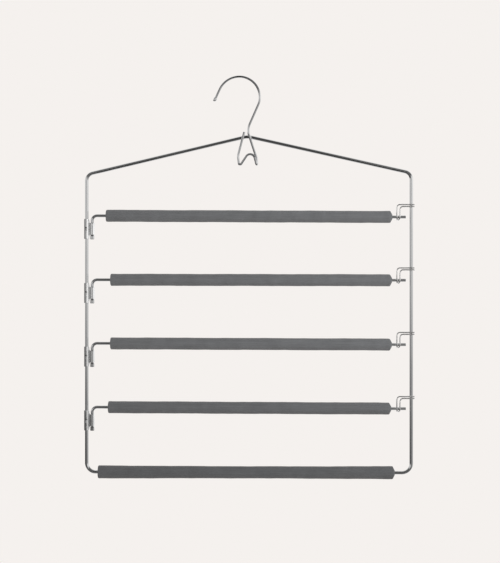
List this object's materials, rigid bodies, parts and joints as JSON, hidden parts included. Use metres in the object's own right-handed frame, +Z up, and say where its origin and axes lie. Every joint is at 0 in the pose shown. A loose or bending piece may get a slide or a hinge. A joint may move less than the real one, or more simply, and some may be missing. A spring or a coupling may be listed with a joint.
{
  "type": "multi-tier swing-arm trouser hanger",
  "caption": "Flat wire trouser hanger: a house-shaped chrome frame on a hook, with foam-sleeved arms that swing out on pins and rest in wire catches.",
  "frame": {"origin": "the hook's inner top on the hook wire's middle plane, where the hook sits on a rail", "axes": "+Z up; +X along the arms from their pins to their free ends; +Y to the back, the side that the arms swing out to"},
  "size_m": [0.3723, 0.0145, 0.4544],
  "materials": {
    "chrome_wire": "bright chrome plate on drawn steel wire",
    "plated_sheet": "bright plate on folded steel sheet",
    "tip_cap": "bright plated cap",
    "grey_foam": "matte closed-cell foam tube"
  },
  "bodies": {
    "frame": {"frame_wire": "chrome_wire", "hook_wire": "chrome_wire", "hook_tip_cap": "tip_cap", "bottom_sleeve": "grey_foam", "hinge_bracket_1": "plated_sheet", "hinge_bracket_2": "plated_sheet", "hinge_bracket_3": "plated_sheet", "hinge_bracket_4": "plated_sheet", "catch_1": "chrome_wire", "catch_2": "chrome_wire", "catch_3": "chrome_wire", "catch_4": "chrome_wire"},
    "arm_1": {"arm_wire_1": "chrome_wire", "arm_sleeve_1": "grey_foam"},
    "arm_2": {"arm_wire_2": "chrome_wire", "arm_sleeve_2": "grey_foam"},
    "arm_3": {"arm_wire_3": "chrome_wire", "arm_sleeve_3": "grey_foam"},
    "arm_4": {"arm_wire_4": "chrome_wire", "arm_sleeve_4": "grey_foam"}
  },
  "joints": [
    {"name": "arm_1_swing", "type": "hinge", "parent": "frame", "child": "arm_1", "pos_m": [-0.1661, 0.0036, -0.155], "axis": [0, 0, 1], "range_deg": [0, 140]},
    {"name": "arm_2_swing", "type": "hinge", "parent": "frame", "child": "arm_2", "pos_m": [-0.1661, 0.0036, -0.2272], "axis": [0, 0, 1], "range_deg": [0, 140]},
    {"name": "arm_3_swing", "type": "hinge", "parent": "frame", "child": "arm_3", "pos_m": [-0.1661, 0.0036, -0.2989], "axis": [0, 0, 1], "range_deg": [0, 140]},
    {"name": "arm_4_swing", "type": "hinge", "parent": "frame", "child": "arm_4", "pos_m": [-0.1661, 0.0036, -0.3708], "axis": [0, 0, 1], "range_deg": [0, 140]}
  ]
}
